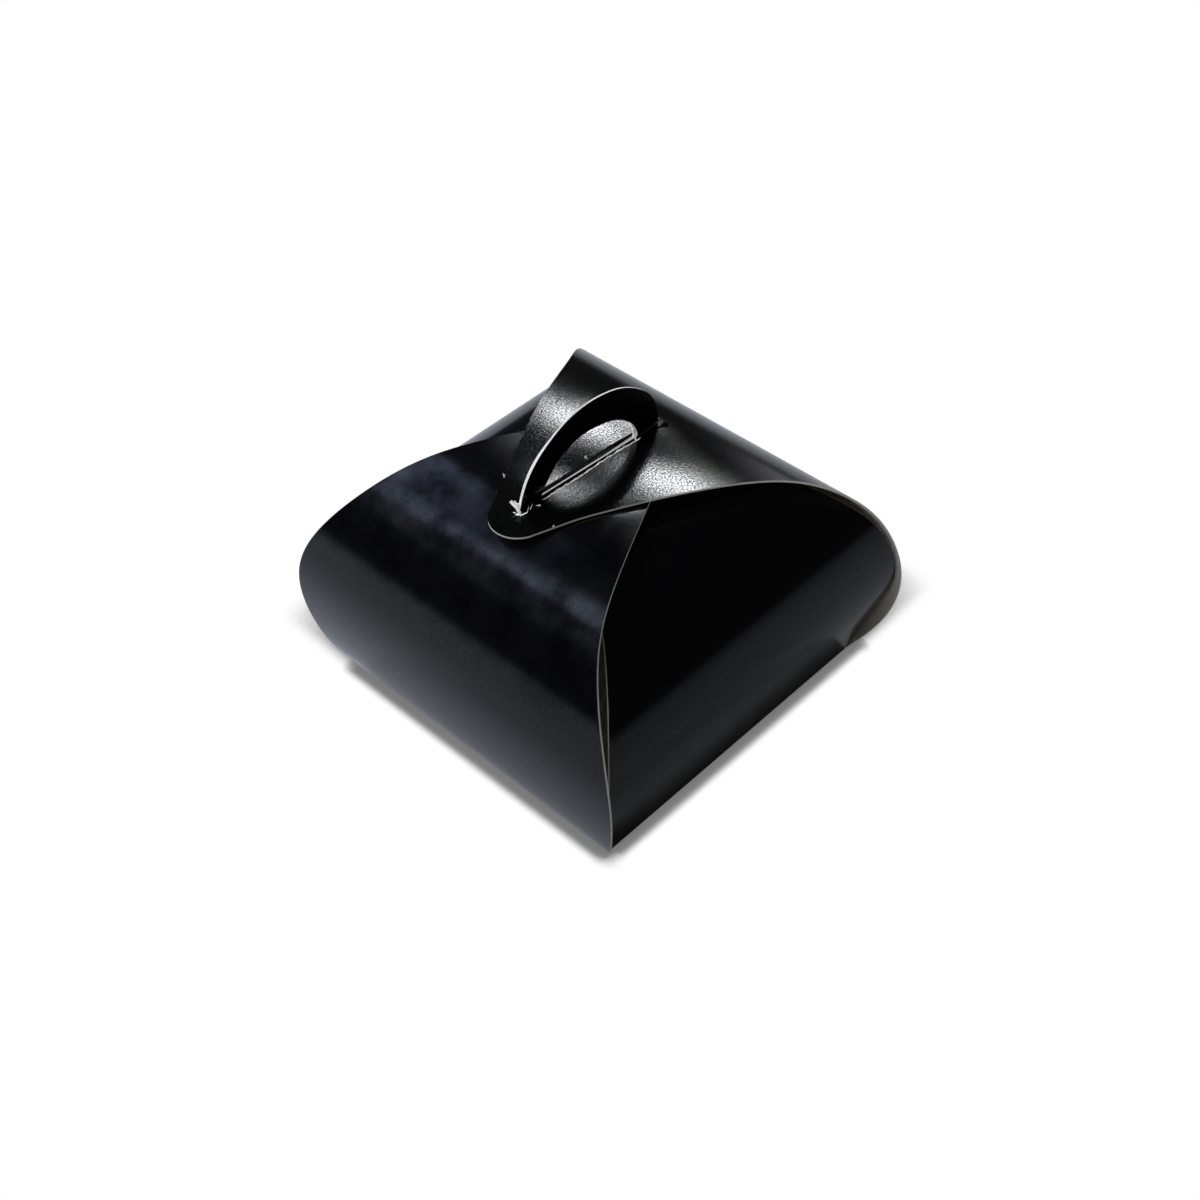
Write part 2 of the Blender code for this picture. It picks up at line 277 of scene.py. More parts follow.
def bare_board(name, light, dark, roughness, glow=0.0):
    """Uncoated side or cut edge, with flecks of fibre between a light and a dark colour. Glow is
    painted light.
    """
    material, tree, shader = new_material(
        name, {"Emission Strength": glow, "Roughness": roughness}
    )
    card = add_node(tree, "ShaderNodeUVMap", uv_map="card")
    flecks = add_node(
        tree,
        "ShaderNodeTexNoise",
        {"Vector": card, "Scale": 1 / FLECK_SIZE, "Detail": 4, "Roughness": 0.7},
    )
    mix = add_node(
        tree,
        "ShaderNodeMix",
        {"Factor": flecks, "A": linear(light), "B": linear(dark)},
        data_type="RGBA",
    )
    for name in ("Base Color", "Emission Color"):
        tree.links.new(mix.outputs["Result"], shader.inputs[name])
    bump = add_node(
        tree, "ShaderNodeBump", {"Height": flecks, "Strength": 0.4, "Distance": FLECK_RELIEF}
    )
    tree.links.new(bump.outputs["Normal"], shader.inputs["Normal"])
    return material


BARE_SIDE = bare_board("bare_board_inside", "D9D2C4", "C9C1B1", 0.85)
CUT_EDGE = bare_board("knife_cut_board_edge", "E0DBD0", "C0BAAE", 0.8, glow=0.08)
# The handle's edge is painted lighter and glows more than the other cut edges: painted light.
PLY_EDGE = bare_board("knife_cut_board_edge_painted_brighter", "FFFBF2", "E8E2D6", 0.8, glow=0.2)
print("bare board:", [m.name for m in (BARE_SIDE, CUT_EDGE, PLY_EDGE)])

# %% [markdown]
# ## A sheet becomes card
# Every piece starts as a thin sheet with no thickness. This Geometry Nodes tree gives it the
# card's thickness: it keeps the sheet as the coated side, pushes a copy inwards as the bare
# side, and closes the rim between them as the cut edge, each with its own finish.

# %% Node tree for thickness
# Points closer than this are one point.
WELD = CARD / 500


def new_geometry_tree(name, sockets):
    tree = bpy.data.node_groups.new(name, "GeometryNodeTree")
    tree.interface.new_socket("Geometry", in_out="INPUT", socket_type="NodeSocketGeometry")
    for label, kind in sockets:
        tree.interface.new_socket(label, in_out="INPUT", socket_type=kind)
    tree.interface.new_socket("Geometry", in_out="OUTPUT", socket_type="NodeSocketGeometry")
    return tree, tree.nodes.new("NodeGroupInput"), tree.nodes.new("NodeGroupOutput")


FINISH_SOCKETS = [
    ("Thickness", "NodeSocketFloat"),
    ("Coated side", "NodeSocketMaterial"),
    ("Bare side", "NodeSocketMaterial"),
    ("Cut edge", "NodeSocketMaterial"),
]


def thickness_tree():
    tree, given, result = new_geometry_tree("sheet_to_card", FINISH_SOCKETS)
    sheet = given.outputs["Geometry"]
    inward = add_node(
        tree, "ShaderNodeMath", {0: given.outputs["Thickness"], 1: -1.0}, operation="MULTIPLY"
    )
    normal = add_node(tree, "GeometryNodeInputNormal")
    pushed = add_node(
        tree,
        "GeometryNodeExtrudeMesh",
        {"Mesh": sheet, "Offset": normal, "Offset Scale": inward, "Individual": False},
        mode="FACES",
    )
    inner = pushed.outputs["Mesh"]
    for part, finish in (("Top", "Bare side"), ("Side", "Cut edge")):
        inner = add_node(
            tree,
            "GeometryNodeSetMaterial",
            {
                "Geometry": inner,
                "Selection": pushed.outputs[part],
                "Material": given.outputs[finish],
            },
        ).outputs["Geometry"]
    turned = add_node(tree, "GeometryNodeFlipFaces", {"Mesh": inner})
    coated = add_node(
        tree,
        "GeometryNodeSetMaterial",
        {"Geometry": sheet, "Material": given.outputs["Coated side"]},
    )
    joined = add_node(tree, "GeometryNodeJoinGeometry")
    tree.links.new(turned.outputs["Mesh"], joined.inputs["Geometry"])
    tree.links.new(coated.outputs["Geometry"], joined.inputs["Geometry"])
    closed = add_node(tree, "GeometryNodeMergeByDistance", {"Geometry": joined, "Distance": WELD})
    real = add_node(tree, "GeometryNodeRealizeInstances", {"Geometry": closed})
    tree.links.new(real.outputs["Geometry"], result.inputs["Geometry"])
    return tree


SHEET_TO_CARD = thickness_tree()
print("tree:", SHEET_TO_CARD.name, len(SHEET_TO_CARD.nodes), "nodes")

# %% [markdown]
# ## Petals as ruled sheets
# Card bends one way at a time, so each petal is a ruled surface: a row of straight lines, all
# level and all alike in direction, that follow one curve. The tree below takes that curve as a
# chain of points. Each point carries how wide the petal is there, where its middle is, and how
# far the handle's slot opens. Two grids, one for each side of the slot, are bent to those rows
# and merged. Near the slot the card isn't quite ruled, because it sinks a little there.

# %% Node tree for ruled petals
DIP_REACH = 16 * MM
CARRIED = ("middle", "half_width", "slot_middle", "slot_half", "run", "dip")


def petal_tree():
    tree, given, result = new_geometry_tree(
        "ruled_card_petal", [("Columns", "NodeSocketInt"), *FINISH_SOCKETS]
    )
    line = given.outputs["Geometry"]
    columns = given.outputs["Columns"]
    size = add_node(tree, "GeometryNodeAttributeDomainSize", {"Geometry": line})
    grid = add_node(
        tree,
        "GeometryNodeMeshGrid",
        {"Vertices X": size.outputs["Point Count"], "Vertices Y": columns},
    )
    index = add_node(tree, "GeometryNodeInputIndex")
    share = add_node(tree, "ShaderNodeMath", {0: index, 1: columns}, operation="DIVIDE")
    row = add_node(tree, "ShaderNodeMath", {0: share}, operation="FLOOR")
    place_in_row = add_node(tree, "ShaderNodeMath", {0: index, 1: columns}, operation="MODULO")
    steps = add_node(tree, "ShaderNodeMath", {0: columns, 1: 1.0}, operation="SUBTRACT")
    across = add_node(tree, "ShaderNodeMath", {0: place_in_row, 1: steps}, operation="DIVIDE")

    def at_row(source, kind):
        sample = add_node(
            tree,
            "GeometryNodeSampleIndex",
            {"Geometry": line, "Value": source, "Index": row},
            data_type=kind,
            domain="POINT",
        )
        return sample.outputs["Value"]

    def carried(name):
        field = add_node(tree, "GeometryNodeInputNamedAttribute", {"Name": name}, data_type="FLOAT")
        return at_row(field.outputs["Attribute"], "FLOAT")

    point = add_node(tree, "GeometryNodeInputPosition")
    centre = add_node(
        tree, "ShaderNodeSeparateXYZ", {"Vector": at_row(point.outputs["Position"], "FLOAT_VECTOR")}
    )
    middle, half, cut, slot, run, dip = (carried(name) for name in CARRIED)

    sides = []
    for sign in (1.0, -1.0):
        start = add_node(
            tree, "ShaderNodeMath", {0: slot, 1: sign, 2: cut}, operation="MULTIPLY_ADD"
        )
        end = add_node(
            tree, "ShaderNodeMath", {0: half, 1: sign, 2: middle}, operation="MULTIPLY_ADD"
        )
        width = add_node(
            tree, "ShaderNodeMapRange", {"Value": across, "To Min": start, "To Max": end}
        )
        # The card sinks towards the slot, on both sides of it.
        away = add_node(tree, "ShaderNodeMath", {0: width, 1: cut}, operation="SUBTRACT")
        apart = add_node(tree, "ShaderNodeMath", {0: away}, operation="ABSOLUTE")
        nearness = add_node(
            tree,
            "ShaderNodeMapRange",
            {"Value": apart, "From Max": DIP_REACH, "To Min": 1.0, "To Max": 0.0},
        )
        sunk = add_node(tree, "ShaderNodeMath", {0: nearness, 1: nearness}, operation="MULTIPLY")
        depth = add_node(tree, "ShaderNodeMath", {0: sunk, 1: dip}, operation="MULTIPLY")
        height = add_node(
            tree, "ShaderNodeMath", {0: centre.outputs["Z"], 1: depth}, operation="SUBTRACT"
        )
        moved = add_node(
            tree, "ShaderNodeCombineXYZ", {"X": centre.outputs["X"], "Y": width, "Z": height}
        )
        on_card = add_node(tree, "ShaderNodeCombineXYZ", {"X": run, "Y": width})
        at_points = add_node(
            tree,
            "GeometryNodeFieldOnDomain",
            {"Value": on_card},
            data_type="FLOAT_VECTOR",
            domain="POINT",
        )
        marked = add_node(
            tree,
            "GeometryNodeStoreNamedAttribute",
            {"Geometry": grid, "Name": "card", "Value": at_points},
            data_type="FLOAT2",
            domain="CORNER",
        )
        placed = add_node(tree, "GeometryNodeSetPosition", {"Geometry": marked, "Position": moved})
        sides.append(placed.outputs["Geometry"])
    other = add_node(tree, "GeometryNodeFlipFaces", {"Mesh": sides[0]})
    joined = add_node(tree, "GeometryNodeJoinGeometry")
    tree.links.new(sides[1], joined.inputs["Geometry"])
    tree.links.new(other.outputs["Mesh"], joined.inputs["Geometry"])
    merged = add_node(tree, "GeometryNodeMergeByDistance", {"Geometry": joined, "Distance": WELD})
    card = add_node(tree, "GeometryNodeGroup", node_tree=SHEET_TO_CARD)
    tree.links.new(merged.outputs["Geometry"], card.inputs["Geometry"])
    for name, _ in FINISH_SOCKETS:
        tree.links.new(given.outputs[name], card.inputs[name])
    tree.links.new(card.outputs["Geometry"], result.inputs["Geometry"])
    return tree


RULED_PETAL = petal_tree()
print("tree:", RULED_PETAL.name, len(RULED_PETAL.nodes), "nodes")

# %% [markdown]
# ## From a live modifier to a finished piece
# A piece is finished as a plain mesh at the origin: the node tree and a very small bevel on the cut
# edges are applied. The bevel gets the cut edge's finish, white with its painted glow, because the
# knife crushes the coating back by a few hundredths of a millimetre, and that is why the edges read
# as light lines.

# %% Finishing helpers
EDGE_WEAR = 0.06 * MM
BEVEL_ABOVE = math.radians(60)
SHARP_ABOVE = math.radians(30)
# The node tree leaves an empty slot before the three finishes, so the cut edge is the fourth.
CUT_EDGE_SLOT = 3


def add_tree(source, tree, values):
    """Puts a node tree on the object, with inputs found by name and set by identifier."""
    modifier = source.modifiers.new(tree.name, "NODES")
    modifier.node_group = tree
    for item in tree.interface.items_tree:
        if item.item_type == "SOCKET" and item.in_out == "INPUT" and item.name in values:
            modifier[item.identifier] = values[item.name]


def card_of(coated, edge=CUT_EDGE, thickness=CARD):
    """What a node tree needs to know of the card: its thickness and its three finishes."""
    names = [name for name, _ in FINISH_SOCKETS]
    return dict(zip(names, (thickness, coated, BARE_SIDE, edge)))


def plain_mesh(source):
    """The mesh that an object's modifiers or curve make. The object itself is removed."""
    bpy.context.view_layer.update()
    graph = bpy.context.evaluated_depsgraph_get()
    mesh = bpy.data.meshes.new_from_object(source.evaluated_get(graph))
    bpy.data.objects.remove(source, do_unlink=True)
    return mesh


def finished(name, source, to_frame=Matrix.Identity(4), wear=EDGE_WEAR):
    """Applies the modifiers of a source object and returns the piece, placed by to_frame."""
    if wear:
        bevel = source.modifiers.new("worn_edges", "BEVEL")
        bevel.width = wear
        bevel.segments = 1
        bevel.limit_method = "ANGLE"
        bevel.angle_limit = BEVEL_ABOVE
        bevel.material = CUT_EDGE_SLOT
    mesh = plain_mesh(source)
    mesh.name = name
    mesh.transform(to_frame)
    mesh.shade_smooth()
    mesh.set_sharp_from_angle(angle=SHARP_ABOVE)
    for slot in reversed(range(len(mesh.materials))):
        if mesh.materials[slot] is None:
            mesh.materials.pop(index=slot)
    return in_scene(name, mesh)


print("edges are worn by", round(EDGE_WEAR / MM, 2), "mm")

# %% [markdown]
# ## Smooth lines
# Bent card has no kinks, and neither has a die-cut outline. Both are drawn as natural cubic
# splines through a few listed points: the line that a thin, springy strip takes by itself.

# %% A line through listed points


def smooth_line(knots, count=400):
    """Points on a natural cubic spline through the knots, evenly spread in its parameter."""
    knots = np.array(knots, float)
    n = len(knots)
    system = np.zeros((n, n))
    right = np.zeros_like(knots)
    system[0, 0] = system[-1, -1] = 1
    for i in range(1, n - 1):
        system[i, i - 1 : i + 2] = 1, 4, 1
        right[i] = 6 * (knots[i - 1] - 2 * knots[i] + knots[i + 1])
    bend = np.linalg.solve(system, right)
    t = np.linspace(0, n - 1, count)
    i = np.minimum(t.astype(int), n - 2)
    a, b = (t - i)[:, None], (i + 1 - t)[:, None]
    return (
        bend[i] * b**3 / 6
        + bend[i + 1] * a**3 / 6
        + (knots[i] - bend[i] / 6) * b
        + (knots[i + 1] - bend[i + 1] / 6) * a
    )


print("middle of a test line:", smooth_line([(0, 0), (1, 1), (2, 0)], 3)[1])

# %% [markdown]
# ## The petals' curves
# Each row of the tables below is one point of a petal, read from the crease on the base to the
# tip: how far out it is from the box's middle, how high, half the petal's width there, and how
# far its middle has slid aside. The left petal's edge runs up the box's corner and then cuts
# straight across the top. The right petal is the last to close, so it lies on top, and its
# round tip hovers over the left one.

# %% Curves
LEFT_POINTS = [
    (30.0, 0.0, 30.0, 0.0),
    (33.7, 6.6, 33.8, 0.0),
    (35.7, 18.4, 36.3, 0.0),
    (34.1, 30.4, 33.7, 0.0),
    (26.9, 40.7, 26.5, 0.0),
    (15.2, 45.3, 20.2, 0.0),
    (2.3, 45.45, 13.7, 0.0),
    (-5.0, 45.2, 10.0, 0.0),
    (-10.0, 44.5, 7.5, 0.0),
    (-14.2, 43.3, 5.4, 0.0),
]
RIGHT_POINTS = [
    (30.0, 0.0, 30.0, 0.0),
    (34.5, 7.4, 34.5, 0.0),
    (35.8, 18.1, 36.0, 0.0),
    (32.9, 29.6, 33.2, 0.0),
    (25.9, 38.6, 29.2, 0.0),
    (17.4, 43.4, 23.5, 0.0),
    (4.1, 45.9, 16.7, 0.0),
    (-8.6, 46.2, 9.9, -0.1),
    (-14.6, 46.15, 6.9, -0.5),
    (-19.8, 46.0, 4.4, -1.0),
]
INNER_POINTS = [
    (30.0, 0.0, 30.0, 0.0),
    (32.2, 6.7, 32.2, 0.0),
    (34.8, 14.7, 34.8, 0.0),
    (35.1, 21.8, 34.4, 0.0),
    (33.0, 29.2, 31.9, 0.0),
    (28.2, 35.7, 27.0, 0.0),
    (21.0, 40.6, 21.0, 0.0),
    (12.0, 42.6, 16.5, 0.0),
    (5.0, 42.8, 15.8, 0.0),
    (0.8, 44.2, 15.8, 0.0),
]
RIGHT_TIP_RADIUS = 4.95
LEFT_TIP_RADIUS = 6.0
for points in (LEFT_POINTS, RIGHT_POINTS, INNER_POINTS):
    print(len(points), "points, widest", 2 * max(row[2] for row in points), "mm")

# %% [markdown]
# ## The slot and how the roof sinks
# The handle stands in a slot that is cut along the middle of the two outer petals. It holds
# the slot open, and the roof sinks a little beside it. Both are read from the photograph, the
# second one from the handle's mirror image.

# %% Slot
# The slot's two ends, where its middle is there, and how wide the handle has pushed it open.
SLOT_LEFT, SLOT_LEFT_SIDE = -17.7, -0.3
SLOT_RIGHT, SLOT_RIGHT_SIDE = 13.9, 0.05
SLOT_HALF = 1.0
LOWER_SLOT_EXTRA = 0.7
RIGHT_SLOT = {
    "from": SLOT_LEFT,
    "to": SLOT_RIGHT,
    "from_side": SLOT_LEFT_SIDE,
    "to_side": SLOT_RIGHT_SIDE,
    "half": SLOT_HALF,
}
# The left petal is turned by half a turn, so its ends and sides change sign.
LEFT_SLOT = {
    "from": -SLOT_RIGHT,
    "to": -SLOT_LEFT,
    "from_side": -SLOT_RIGHT_SIDE,
    "to_side": -SLOT_LEFT_SIDE,
    "half": SLOT_HALF + LOWER_SLOT_EXTRA,
}
# The roof is all that lies above this. It sinks by the dip, between these places along it.
ROOF_ABOVE = 40
ROOF_DIP = 0.75
DIP_STARTS, DIP_FULL, DIP_EASES, DIP_ENDS = -13, -3, 9, 19


def ease(x):
    """A soft step from 0 to 1."""
    x = np.clip(x, 0, 1)
    return x * x * (3 - 2 * x)


def roof_dip(x):
    """How deep the roof sinks at the slot, at this place along it."""
    rising = ease((x - DIP_STARTS) / (DIP_FULL - DIP_STARTS))
    falling = ease((DIP_ENDS - x) / (DIP_ENDS - DIP_EASES))
    return ROOF_DIP * rising * falling


print("slot", round(SLOT_RIGHT - SLOT_LEFT, 1), "mm long, roof sinks", roof_dip(0), "mm at x = 0")

# %% [markdown]
# ## From points to rows
# A petal's points become rows a little under a millimetre apart. They crowd together at the
# slot's ends, so that these come out round, and the tip is closed by an arc.

# %% Rows of a petal
ROW_STEP = 0.8
LEAST_STEP = 0.02
CROWDED_STEPS = (-0.05, 0, 0.05, 0.15, 0.3, 0.5, 0.75)
TIP_STEPS = 15
# The tip carries on with the slope of the line's last so many points.
TIP_LEAD = 8
# The slot belongs to the rows above the shoulder and not far past its ends. The petal's middle
# eases over to the slot's, and the slot's ends are rounded, over these lengths.
SLOT_ROWS_ABOVE, SLOT_ROWS_PAST = 30, 8
MIDDLE_EASES, END_ROUNDS = 2.5, 0.8


def lengths_along(line):
    """How far each point of the line is from its start, measured along it."""
    return np.concatenate([[0], np.cumsum(np.hypot(*np.diff(line[:, :2], axis=0).T))])


def petal_line(points, tip_radius, slot):
    """The rows of one petal, and the middle and half width of the slot at each of them."""
    line = smooth_line(points)
    if tip_radius:
        # The round tip: an arc that carries on from the last row to the petal's middle.
        reach, height, half, middle = line[-1]
        fall = (height - line[-TIP_LEAD, 1]) / (reach - line[-TIP_LEAD, 0])
        centre = reach + math.sqrt(tip_radius**2 - half**2)
        turn = np.linspace(math.asin(half / tip_radius), 0, TIP_STEPS + 1)[1:]
        out = centre - tip_radius * np.cos(turn)
        down = height + fall * (out - reach)
        tip = np.column_stack([out, down, tip_radius * np.sin(turn), np.full(TIP_STEPS, middle)])
    run = lengths_along(line)
    stops = list(np.linspace(0, run[-1], int(run[-1] / ROW_STEP)))
    if slot:
        back = line[::-1]
        for end, inward in ((slot["from"], 1), (slot["to"], -1)):
            for step in CROWDED_STEPS:
                stops.append(float(np.interp(end + inward * step, back[:, 0], run[::-1])))
    stops = sorted(stops)
    stops = [s for k, s in enumerate(stops) if k == 0 or s - stops[k - 1] > LEAST_STEP]
    rows = np.column_stack([np.interp(stops, run, line[:, k]) for k in range(4)])
    if tip_radius:
        rows = np.vstack([rows, tip])
    runs = lengths_along(rows)
    cut, gap = rows[:, 3].copy(), np.zeros(len(rows))
    if slot:
        share = (rows[:, 0] - slot["from"]) / (slot["to"] - slot["from"])
        side = slot["from_side"] + (slot["to_side"] - slot["from_side"]) * share
        from_end = np.minimum(rows[:, 0] - slot["from"], slot["to"] - rows[:, 0])
        near = (rows[:, 1] > SLOT_ROWS_ABOVE) & (from_end > -SLOT_ROWS_PAST)
        slid = (side - rows[:, 3]) * ease((from_end + MIDDLE_EASES) / MIDDLE_EASES)
        cut = np.where(near, rows[:, 3] + slid, cut)
        inside = np.clip(from_end / END_ROUNDS, 0, 1)
        round_end = np.sqrt(np.clip(1 - (1 - inside) ** 2, 0, 1))
        gap = np.where(near & (from_end > 0), slot["half"] * round_end, 0)
    return rows, cut, gap, runs


print("rows of the left petal:", len(petal_line(LEFT_POINTS, LEFT_TIP_RADIUS, LEFT_SLOT)[0]))

# %% [markdown]
# ## From rows to a chain
# The rows are written to a chain of points, each with its own widths, for the petal tree.

# %% Chain of points


def chain(name, rows, cut, gap, runs, dip_side):
    """The rows as a chain of points. Dip side is 1 if the petal reaches from +X, -1 if it
    reaches from -X, else 0."""
    dip = roof_dip(rows[:, 0] * dip_side) * (rows[:, 1] > ROOF_ABOVE) * abs(dip_side)
    mesh = bpy.data.meshes.new(name)
    mesh.from_pydata(
        [(x * MM, 0, z * MM) for x, z in rows[:, :2]],
        [(i, i + 1) for i in range(len(rows) - 1)],
        [],
    )
    for label, values in zip(CARRIED, (rows[:, 3], rows[:, 2], cut, gap, runs, dip)):
        attribute = mesh.attributes.new(label, "FLOAT", "POINT")
        attribute.data.foreach_set("value", np.float32(values * MM))
    return in_scene(name, mesh)


print("each point carries", ", ".join(CARRIED))

# %% [markdown]
# ## The four petals
# Each petal is one chain through the same tree, turned to its side of the box. The slot's walls lie
# in shade between the layers, so those faces get the coated side's black instead of the white cut
# edge: painted shade. The front and back petals are alike, and have no slot.

# %% Petals
COLUMNS = 14
# The right petal lies on top and has been handled most, so its edges are worn further.
TOP_WEAR = 0.1 * MM
# The slot's walls: the steep cut faces this near to the slot, and towards its right end also
# the small bevel on them.
WALLS_ABOVE, WALLS_WITHIN, WALLS_PAST_END, BEVEL_FROM = 42, 2.5, 0.5, 10
STEEP = 0.5


def paint_slot_walls_shaded(piece, coated):
    """Gives the walls of the slot the coated side's black finish, as painted shade."""
    names = [m.name for m in piece.data.materials]
    for face in piece.data.polygons:
        if (
            face.material_index == names.index(CUT_EDGE.name)
            and (abs(face.normal.z) < STEEP or face.center.x > BEVEL_FROM * MM)
            and abs(face.center.y) < WALLS_WITHIN * MM
            and face.center.z > WALLS_ABOVE * MM
            and SLOT_LEFT - WALLS_PAST_END < face.center.x / MM < SLOT_RIGHT + WALLS_PAST_END
        ):
            face.material_index = names.index(coated.name)


def make_petal(name, points, turn, coated, tip_radius=0, slot=None, dip_side=0, wear=EDGE_WEAR):
    """A petal, made along X and turned to its side of the box."""
    rows, cut, gap, runs = petal_line(points, tip_radius, slot)
    source = chain(name + "_chain", rows, cut, gap, runs, dip_side)
    add_tree(source, RULED_PETAL, {"Columns": COLUMNS, **card_of(coated)})
    piece = finished(name, source, Matrix.Rotation(turn, 4, "Z"), wear)
    if slot:
        # Painted shade: the slot's walls are given the coating's black.
        paint_slot_walls_shaded(piece, coated)
    print(name, round(float(runs[-1]), 1), "mm long,", len(piece.data.polygons), "faces")
    return piece


left_petal = make_petal(
    "left_petal", LEFT_POINTS, math.pi, COATED_LEFT, LEFT_TIP_RADIUS, LEFT_SLOT, -1
)
right_petal = make_petal(
    "right_petal", RIGHT_POINTS, 0, COATED_RIGHT, RIGHT_TIP_RADIUS, RIGHT_SLOT, 1, TOP_WEAR
)
front_petal = make_petal("front_petal", INNER_POINTS, -math.pi / 2, COATED_FRONT)
back_petal = make_petal("back_petal", INNER_POINTS, math.pi / 2, COATED_BACK)

# %% [markdown]
# ## The handle
# The handle is a loop at the tip of the front and of the back petal, folded upright so that
# the two lie back to back. Each row below is one point of a ply, seen from the front: how far
# to the right it is, and how high. The first table is its outside, the second one its hole.

# %% Handle outline
LOOP_OUTER = [
    (-17.0, 43.0),
    (-17.0, 45.4),
    (-15.95, 48.5),
    (-14.25, 51.4),
    (-11.7, 53.9),
    (-8.4, 55.9),
    (-4.9, 57.2),
    (-1.2, 57.65),
    (2.4, 57.35),
    (6.3, 56.25),
    (9.8, 54.15),
    (12.5, 51.5),
    (14.0, 48.5),
    (14.5, 45.5),
    (14.5, 43.0),
]
LOOP_HOLE = [
    (-12.1, 46.1),
    (-11.4, 47.2),
    (-10.0, 48.8),
    (-8.2, 50.55),
    (-6.0, 51.6),
    (-3.0, 52.3),
    (0.0, 52.15),
    (3.0, 51.5),
    (5.5, 50.4),
    (7.6, 48.75),
    (8.9, 47.0),
    (9.45, 45.4),
    (9.4, 44.7),
]
print("handle rises to", max(z for _, z in LOOP_OUTER), "mm")

# %% [markdown]
# ## Outlines of the two plies
# A flat curve that fills its outline is the plainest way to a shape with a hole. The back ply
# is a little smaller, so less of its edge shows behind the front one, and its hole reaches
# lower, so that only the front ply's edge shows in the slot.

# %% Outlines of the plies
PLY_GAP = 0.02
# The loop was squeezed when the box was closed, and its edge looks thinner than the petals'.
PLY_CARD = 0.28 * MM
BACK_INSET = 0.38
HOLE_DROP, HOLE_DROPS_BELOW, HOLE_DROP_EASES = 1.5, 47, 0.7
OUTER_STEPS, HOLE_STEPS = 120, 90
# The bands are closest where the ply bends, just above the slot.
BAND_LEVELS = [
    *np.arange(43.7, 45.8, 0.7),
    *(46.0, 46.2, 46.35, 46.5, 46.65, 46.8, 47.0, 47.4),
    *np.arange(48, 57.6, 0.8),
]
# Low in the slot the hole's edge keeps the plain cut edge, which is darker and has less painted
# glow than the rest of the handle's edge.
PLAIN_EDGE_FROM, PLAIN_EDGE_TO, PLAIN_EDGE_BELOW = -13, 9, 47


def filled_outline(name, outlines):
    """A flat mesh in X and Y that fills the first outline and leaves out the others."""
    curve = bpy.data.curves.new(name, "CURVE")
    curve.dimensions = "2D"
    curve.fill_mode = "BOTH"
    for outline in outlines:
        spline = curve.splines.new("POLY")
        spline.points.add(len(outline) - 1)
        for point, (x, y) in zip(spline.points, outline):
            point.co = (x * MM, y * MM, 0, 1)
        spline.use_cyclic_u = True
    return plain_mesh(in_scene(name, curve))


def brought_in(x, z, inset):
    """A point of the outline, brought in from the left and, right of the foot, from above."""
    lower = inset * ease((x + 14) / 6) * ease((z - 50) / 4)
    return x + inset * 0.4 * ease(-x / 14), z - lower


print("back ply is", BACK_INSET, "mm smaller, its hole", HOLE_DROP, "mm lower")

# %% [markdown]
# ## Cutting the plies and standing them up
# Each flat outline is cut into level bands, closest where the real ply bends as it leaves the slot.
# Then it is stood up beside the other one and given the card's thickness.

# %% Handle plies


def make_ply(name, side, inset, drop):
    """One ply of the handle. Side is -1 for the front ply and 1 for the back one."""
    outer = smooth_line(LOOP_OUTER[1:-1], OUTER_STEPS)
    outer = [LOOP_OUTER[0], *map(tuple, outer), LOOP_OUTER[-1]]
    outer = [brought_in(x, z, inset) for x, z in outer]
    hole = [
        (x, z - drop * ease((HOLE_DROPS_BELOW - z) / HOLE_DROP_EASES))
        for x, z in smooth_line(LOOP_HOLE, HOLE_STEPS)
    ]
    mesh = filled_outline(name, [outer, hole])
    work = bmesh.new()
    work.from_mesh(mesh)
    bmesh.ops.remove_doubles(work, verts=work.verts, dist=CARD / 100)
    for level_mm in BAND_LEVELS:
        bmesh.ops.bisect_plane(
            work,
            geom=work.verts[:] + work.edges[:] + work.faces[:],
            plane_co=(0, float(level_mm) * MM, 0),
            plane_no=(0, 1, 0),
            dist=CARD / 1000,
        )
    layer = work.loops.layers.uv.new("card")
    for face in work.faces:
        for loop in face.loops:
            loop[layer].uv = loop.vert.co.xy
        if (face.normal.z > 0) != (side < 0):
            face.normal_flip()
    work.to_mesh(mesh)
    work.free()
    # The outline is drawn in X and Y, and stood up about X. The coated side faces out.
    mesh.transform(Matrix.Rotation(math.pi / 2, 4, "X"))
    mesh.transform(Matrix.Translation((0, side * (PLY_GAP / 2 * MM + PLY_CARD), 0)))
    source = in_scene(name + "_sheet", mesh)
    add_tree(source, SHEET_TO_CARD, card_of(COATED_HANDLE, PLY_EDGE, PLY_CARD))
    piece = finished(name, source)
    piece.data.materials.append(CUT_EDGE)
    edge = [m.name for m in piece.data.materials].index(PLY_EDGE.name)
    # Low in the slot the hole's edge goes back to the plain cut edge, without the extra painted
    # light.
    for face in piece.data.polygons:
        low = face.center.z < PLAIN_EDGE_BELOW * MM
        if (face.material_index == edge and low and PLAIN_EDGE_FROM < face.center.x / MM < PLAIN_EDGE_TO):
            face.material_index = len(piece.data.materials) - 1
    print(name, len(piece.data.polygons), "faces")
    return piece


front_ply = make_ply("front_handle_ply", -1, 0, 0)
back_ply = make_ply("back_handle_ply", 1, BACK_INSET, HOLE_DROP)

# %% [markdown]
# ## Torn fibres
# The handle is pulled up through the slot by hand. That tears the board at the slot's ends,
# where its white fibres stand up as small curled flakes, and frays the cut here and there.
# Each row is one flake: its place (x, y, height above the roof, roll), its heading and rise in
# degrees, its length and its width.

